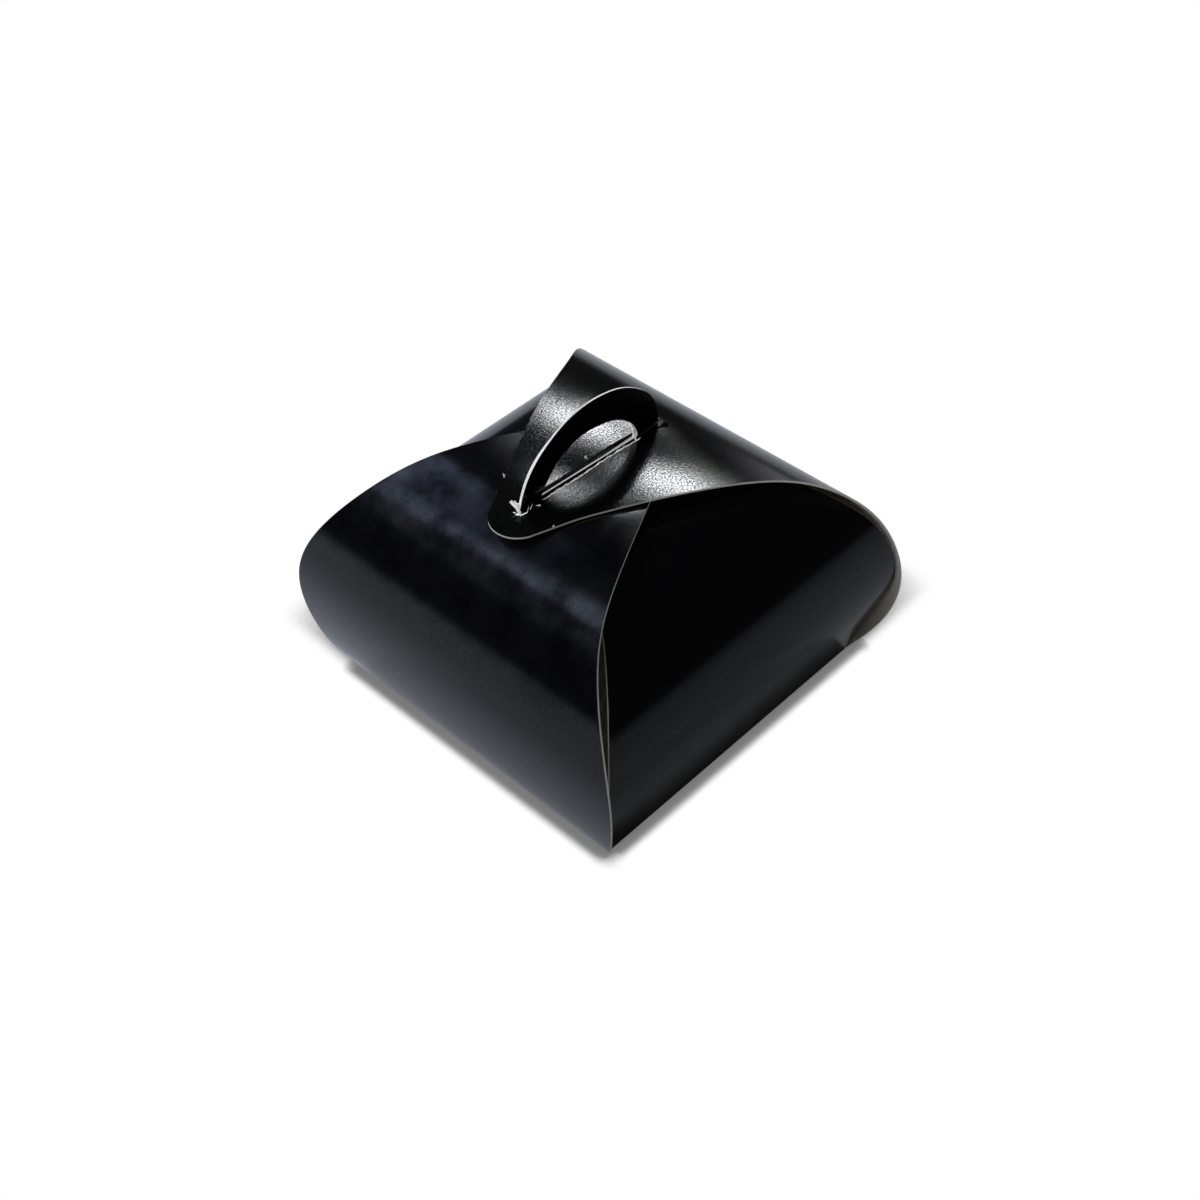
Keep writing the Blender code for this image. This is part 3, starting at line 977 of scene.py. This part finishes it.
# %% Where the fibres are torn
FLAKES = [
    ((-17.36, 1.05, 1.6, 0), -90, -40, 2.4, 0.6),
    ((-17.36, 0.25, 1.95, 25), -90, -60, 2.2, 0.6),
    ((-17.36, -0.5, 2.0, 40), -90, -80, 2.0, 0.45),
    ((-17.3, -0.7, 0.1, 0), 150, 50, 1.5, 0.2),
    ((-17.6, 0.0, 0.0, 0), 200, 20, 0.6, 0.5),
    ((-17.75, -0.5, 0.05, 0), -95, 10, 0.8, 0.5),
    ((-17.5, -1.1, 0.05, 0), -40, 8, 1.1, 0.45),
    ((-16.6, -1.6, 0.05, 0), 30, 8, 1.2, 0.12),
    ((-15.6, -1.3, 0.05, 0), 20, 6, 1.0, 0.12),
    ((-13.9, -1.85, 0.1, 0), 165, 4, 0.8, 0.34),
    ((-9.6, 1.05, 0.0, 0), 12, 12, 0.9, 0.14),
    ((-7.6, 0.95, 0.0, 0), 30, 20, 0.6, 0.18),
    ((-7.0, 1.2, 0.15, 0), 200, 0, 0.4, 0.14),
    ((-0.7, 1.0, 0.0, 0), 70, 20, 0.6, 0.12),
    ((-0.9, 1.4, 0.15, 0), 20, -5, 0.6, 0.12),
    ((8.9, -0.15, -0.3, 0), 20, 86, 2.3, 0.8),
    ((-13.0, 7.15, 0.0, 0), 65, 25, 0.7, 0.18),
    ((-12.6, 7.35, 0.15, 0), 200, 10, 0.4, 0.14),
    ((-16.1, -6.75, 0.0, 0), 10, 12, 0.4, 0.14),
]
print(len(FLAKES), "flakes")

# %% [markdown]
# ## One blade of fibres
# A torn flake of board is thin, pointed and curled. One flattened cone with a bend does for
# all of them: the tree puts a copy at each place, turned and sized by what that point carries.
# The fibres are bleached pulp, so they are nearly white, and light shines through them; a faint
# glow stands for that, as painted light.

# %% Fibre and its tree
BLADE_THICKNESS = 0.1
BLADE_CURL = 0.28
FIBRE_WHITE = linear("F4F2EC")
# The fibres' glow is painted light.
BOARD_FIBRE = new_material(
    "torn_board_fibre",
    {
        "Base Color": FIBRE_WHITE,
        "Emission Color": FIBRE_WHITE,
        "Emission Strength": 0.25,
        "Roughness": 0.9,
    },
)[0]


def flake_tree():
    tree, given, result = new_geometry_tree("curled_flakes", [("Finish", "NodeSocketMaterial")])
    blade = add_node(
        tree,
        "GeometryNodeMeshCone",
        {"Vertices": 8, "Side Segments": 6, "Radius Top": 0.12, "Radius Bottom": 0.5, "Depth": 1.0},
    )
    here = add_node(tree, "GeometryNodeInputPosition")
    parts = add_node(tree, "ShaderNodeSeparateXYZ", {"Vector": here})
    square = add_node(tree, "ShaderNodeMath", {0: parts.outputs["Z"], 1: 2.0}, operation="POWER")
    lift = add_node(tree, "ShaderNodeMath", {0: square, 1: BLADE_CURL}, operation="MULTIPLY")
    # The blade's length runs along X, its width along Y, and it curls up along Z.
    laid = add_node(
        tree, "ShaderNodeCombineXYZ", {"X": parts.outputs["Z"], "Y": parts.outputs["X"]}
    )
    thin = add_node(
        tree,
        "ShaderNodeMath",
        {0: parts.outputs["Y"], 1: BLADE_THICKNESS, 2: lift},
        operation="MULTIPLY_ADD",
    )
    tree.links.new(thin.outputs["Value"], laid.inputs["Z"])
    curled = add_node(tree, "GeometryNodeSetPosition", {"Geometry": blade, "Position": laid})
    turn, size = (
        add_node(tree, "GeometryNodeInputNamedAttribute", {"Name": name}, data_type="FLOAT_VECTOR")
        for name in ("turn", "size")
    )
    copies = add_node(
        tree,
        "GeometryNodeInstanceOnPoints",
        {
            "Points": given.outputs["Geometry"],
            "Instance": curled,
            "Rotation": turn,
            "Scale": size.outputs["Attribute"],
        },
    )
    real = add_node(tree, "GeometryNodeRealizeInstances", {"Geometry": copies})
    painted = add_node(
        tree, "GeometryNodeSetMaterial", {"Geometry": real, "Material": given.outputs["Finish"]}
    )
    tree.links.new(painted.outputs["Geometry"], result.inputs["Geometry"])
    return tree


CURLED_FLAKES = flake_tree()
print("tree:", CURLED_FLAKES.name, len(CURLED_FLAKES.nodes), "nodes")

# %% [markdown]
# ## Flakes and frays on the roof
# Besides the listed flakes, the slot's near side is frayed all along: short fibres that lie
# along the cut, spread and turned by chance. Each point's height comes from the right petal's
# own line and dip, so that the fibres lie on the card.

# %% Torn fibres
FRAYS = 90
FRAY_FROM, FRAY_TO = -12.5, 9.0


def roof_height(x, y):
    """The height of the right petal's coated side at this place."""
    line = smooth_line(RIGHT_POINTS)
    line = line[line[:, 1] > ROOF_ABOVE][::-1]
    centre = float(np.interp(x, line[:, 0], line[:, 1]))
    return centre - float(roof_dip(x)) * max(0, 1 - abs(y) * MM / DIP_REACH) ** 2


def make_flakes():
    chance = random.Random(7)
    frays = []
    for k in range(FRAYS):
        along = FRAY_FROM + (FRAY_TO - FRAY_FROM) * (k + chance.random()) / FRAYS
        side = SLOT_LEFT_SIDE + (SLOT_RIGHT_SIDE - SLOT_LEFT_SIDE) * (along - SLOT_LEFT) / (
            SLOT_RIGHT - SLOT_LEFT
        )
        # Place, heading, rise, length and width, as in the table of flakes.
        frays.append(
            (
                (along, side - SLOT_HALF - chance.uniform(0, 0.1), 0.0, 0),
                chance.choice((0, 180)) + chance.uniform(-9, 9),
                chance.uniform(-1, 3),
                chance.uniform(0.3, 1.1),
                chance.uniform(0.09, 0.2),
            )
        )
    flakes = FLAKES + frays
    mesh = bpy.data.meshes.new("flake_places")
    places = [(x, y, roof_height(x, y) + lift) for (x, y, lift, _), *_ in flakes]
    mesh.from_pydata([tuple(c * MM for c in place) for place in places], [], [])
    turn = mesh.attributes.new("turn", "FLOAT_VECTOR", "POINT")
    size = mesh.attributes.new("size", "FLOAT_VECTOR", "POINT")
    for k, (place, heading, rise, length, width) in enumerate(flakes):
        turn.data[k].vector = [math.radians(a) for a in (place[3], -rise, heading)]
        size.data[k].vector = (length * MM, width * MM, length * MM)
    source = in_scene("flake_places", mesh)
    add_tree(source, CURLED_FLAKES, {"Finish": BOARD_FIBRE})
    piece = finished("slot_torn_fibres", source, wear=0)
    print(piece.name, len(flakes), "flakes,", len(piece.data.polygons), "faces")
    return piece


torn_fibres = make_flakes()

# %% [markdown]
# ## The base
# The square base is part of the same sheet. Its coated side lies on the table. It is a plain
# square, put through the same tree as the handle's plies, with its corners in UV as on paper.

# %% Base
BASE_HALF = 29.9 * MM
BASE_CORNERS = ((-1, -1), (-1, 1), (1, 1), (1, -1))


def make_base():
    mesh = bpy.data.meshes.new("base_sheet")
    corners = [(x * BASE_HALF, y * BASE_HALF, 0) for x, y in BASE_CORNERS]
    mesh.from_pydata(corners, [], [(0, 1, 2, 3)])
    layer = mesh.uv_layers.new(name="card")
    for loop in mesh.loops:
        layer.data[loop.index].uv = mesh.vertices[loop.vertex_index].co.xy
    source = in_scene("base_sheet", mesh)
    add_tree(source, SHEET_TO_CARD, card_of(COATED_BASE, BARE_SIDE))
    return finished("base_card", source, wear=0)


base_card = make_base()
print(base_card.name, len(base_card.data.polygons), "faces")

# %% [markdown]
# ## Standing in for the CAD parts
# On the real box a petal bends at its shoulder, between its wall and its lid, and a ply of the
# handle bends where it leaves the slot. Here the petals and the plies stand in for the CAD walls,
# lids and handles, which are hidden, and are not bent; the torn fibres ride on the right lid and
# the base card on the base. The table gives, for each petal, the low and the high point of its
# bend.

# %% Bodies
PETAL_BENDS = {
    "left": (left_petal, (-0.0357, 0, 0.020), (-0.020, 0, 0.0440)),
    "right": (right_petal, (0.0357, 0, 0.018), (0.019, 0, 0.0425)),
    "front": (front_petal, (0, -0.0349, 0.019), (0, -0.020, 0.0410)),
    "back": (back_petal, (0, 0.0349, 0.019), (0, 0.020, 0.0410)),
}
for side, (piece, low, high) in PETAL_BENDS.items():
    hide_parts(side + "_wall", side + "_lid")
    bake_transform(piece)
for side, piece in (("front", front_ply), ("back", back_ply)):
    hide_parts(side + "_handle")
    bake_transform(piece)
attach(torn_fibres, "right_lid")
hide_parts("base_panel")
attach(base_card, "base")
print("riding:", [piece.name for piece, _, _ in PETAL_BENDS.values()], "and four more")

# %% [markdown]
# ## Table
# The box stands on white board, a square of six metres. It lies a hair's breadth below the
# base, so that the two never flicker.

# %% Floor
floor_mesh = bpy.data.meshes.new("floor")
floor_mesh.from_pydata([(-3, -3, 0), (3, -3, 0), (3, 3, 0), (-3, 3, 0)], [], [(0, 1, 2, 3)])
floor = in_scene("floor", floor_mesh)
floor.location.z = -0.05 * MM
print("floor", tuple(round(side) for side in floor.dimensions[:2]), "m")

# %% [markdown]
# ## The shadow on the board
# For the camera the board is an even white that darkens in a narrow line along the creases,
# where the bulging walls keep the light out, and in a wider shadow behind the box. That wider
# one shows under the bulges and ends in line with the two near walls. An Ambient Occlusion
# node measures how much of the box stands near a point. Its normal leans to the front left,
# which came closest to the shadow in the photograph.

# %% Shadow
floor_paint = bpy.data.materials.new("white_sweep")
floor_paint.use_nodes = True
tree = floor_paint.node_tree
tree.nodes.clear()


def shadow(lean, reach, from_share, to_share, darkest, samples):
    """How bright the board is, by how much of the box stands within reach along lean. It goes
    from darkest at from_share of open sky to white at to_share."""
    way = add_node(tree, "ShaderNodeCombineXYZ", dict(zip("XYZ", lean)))
    nearby = add_node(
        tree,
        "ShaderNodeAmbientOcclusion",
        {"Distance": reach * MM, "Normal": way},
        samples=samples,
        only_local=False,
    )
    shade = add_node(
        tree,
        "ShaderNodeMapRange",
        {
            "Value": nearby.outputs["AO"],
            "From Min": from_share,
            "From Max": to_share,
            "To Min": darkest,
            "To Max": 1.0,
        },
        interpolation_type="SMOOTHSTEP",
    )
    return shade.outputs["Result"]


at_creases = shadow((-0.84, -0.68, 1.0), 3.2, 0.86, 0.99, 0.19, 8)
behind_box = shadow((-1.5, -1.5, 1.0), 22.0, 0.80, 0.86, 0.17, 12)
# The wider shadow fades out over these lengths before the two near walls.
BEHIND_FROM, BEHIND_TO = -33.4 * MM, -30.2 * MM
spot = add_node(tree, "ShaderNodeNewGeometry")
xyz = add_node(tree, "ShaderNodeSeparateXYZ", {"Vector": spot})
nearer = add_node(
    tree, "ShaderNodeMath", {0: xyz.outputs["X"], 1: xyz.outputs["Y"]}, operation="MINIMUM"
)
behind = add_node(
    tree,
    "ShaderNodeMapRange",
    {"Value": nearer, "From Min": BEHIND_FROM, "From Max": BEHIND_TO},
    interpolation_type="SMOOTHSTEP",
)
far_side = add_node(tree, "ShaderNodeMix", {"Factor": behind, "A": 1.0, "B": behind_box})
darker = add_node(tree, "ShaderNodeMath", {0: at_creases, 1: far_side}, operation="MINIMUM")
print("shadow:", len(tree.nodes), "nodes")

# %% [markdown]
# ## The board that the card mirrors
# What the glossy card mirrors is the same board as a real surface: lit by the lamps, with the
# box's own shadow on it. That shadow is what makes the walls dark to the front.

# %% Board
BOARD_GREY = (0.7, 0.7, 0.7, 1)
path = add_node(tree, "ShaderNodeLightPath")
seen = add_node(tree, "ShaderNodeEmission", {"Color": darker, "Strength": 1.0})
board = add_node(tree, "ShaderNodeBsdfPrincipled", {"Base Color": BOARD_GREY, "Roughness": 0.5})
mixed = add_node(tree, "ShaderNodeMixShader", {0: path.outputs["Is Camera Ray"], 1: board, 2: seen})
add_node(tree, "ShaderNodeOutputMaterial", {"Surface": mixed})
floor.data.materials.append(floor_paint)
print("floor's finish:", floor_paint.name)

# %% [markdown]
# ## Light
# Black card shows little but what it mirrors, so the lamps are placed by their mirror images
# in the photograph. A bright window stands behind the box to the right, whose image lies on
# the roof, between two curtains that soften its sides. Three dim bluish panels to its left give
# the soft glow on the left shoulder. The others are low or steep, out of the petals' mirror
# view: they light the table, and with it the walls. Each row is one lamp: its direction from
# the box, in degrees from the handle's axis and up from the table, how wide and high it looks,
# its brightness and its colour. The last one also gives its distance, because it stands closer.

# %% Lamps
LAMPS = [
    ("window", 38.4, 34, 9, 6, 30.0, "F7FBFF"),
    ("window_left_curtain", 48, 31, 8, 8, 1.0, "F4F8FF"),
    ("window_right_curtain", 32, 31, 8, 8, 5.0, "F9FFF6"),
    ("sky_panel", 85, 45, 24, 18, 1.25, "C2D4FF"),
    ("sky_panel_left", 110, 42, 24, 18, 1.15, "CEDFFF"),
    ("sky_panel_far_left", 130, 38, 20, 18, 0.25, "D4E4FF"),
    ("table_back", 90, 16, 40, 18, 6.0, "F0F4FF"),
    ("table_right", 15, 14, 24, 18, 1.4, "F6F6FF"),
    ("table_left", 175, 55, 40, 24, 3.4, "F4F8FF"),
    ("table_back_left", 150, 62, 40, 20, 1.5, "CEE0FF"),
    ("table_near", 110, 25, 30, 15, 5.6, "E4F0FF", 0.3),
]
LAMP_AT = Vector((0, 0, 25)) * MM


def panel_light(name, turn, rise, wide, high, brightness, colour, distance=0.9):
    """A soft panel that faces the box, as large and bright as it should look from there."""
    turn, rise = math.radians(turn), math.radians(rise)
    towards = Vector(
        (math.cos(rise) * math.cos(turn), math.cos(rise) * math.sin(turn), math.sin(rise))
    )
    data = bpy.data.lights.new(name, "AREA")
    data.shape = "RECTANGLE"
    data.size = 2 * distance * math.tan(math.radians(wide / 2))
    data.size_y = 2 * distance * math.tan(math.radians(high / 2))
    # A panel that gives off as much light per area and angle everywhere: pi x area x radiance.
    data.energy = math.pi * data.size * data.size_y * brightness
    data.color = linear(colour)[:3]
    lamp = in_scene(name, data)
    lamp.location = LAMP_AT + towards * distance
    lamp.rotation_euler = (-towards).to_track_quat("-Z", "Y").to_euler()
    size = [round(side, 2) for side in (data.size, data.size_y)]
    print(name, "panel", size, "m", round(data.energy, 2), "W")


for row in LAMPS:
    panel_light(*row)

# %% [markdown]
# ## World
# The world is white for the camera, as behind a product on a sweep, and nearly dark for the
# card, as a room with the lamps' light on its far walls.

# %% World
ROOM_LIGHT = 0.036
world = bpy.data.worlds.new("studio")
bpy.context.scene.world = world
world.use_nodes = True
backdrop = world.node_tree.nodes["Background"]
backdrop.inputs["Color"].default_value = (1, 1, 1, 1)
to_camera = add_node(world.node_tree, "ShaderNodeLightPath")
room = add_node(
    world.node_tree,
    "ShaderNodeMath",
    {0: to_camera.outputs["Is Camera Ray"], 1: ROOM_LIGHT},
    operation="MAXIMUM",
)
world.node_tree.links.new(room.outputs["Value"], backdrop.inputs["Strength"])
bpy.context.scene.view_settings.view_transform = "Standard"
print("world:", world.name, "for the card at", ROOM_LIGHT)
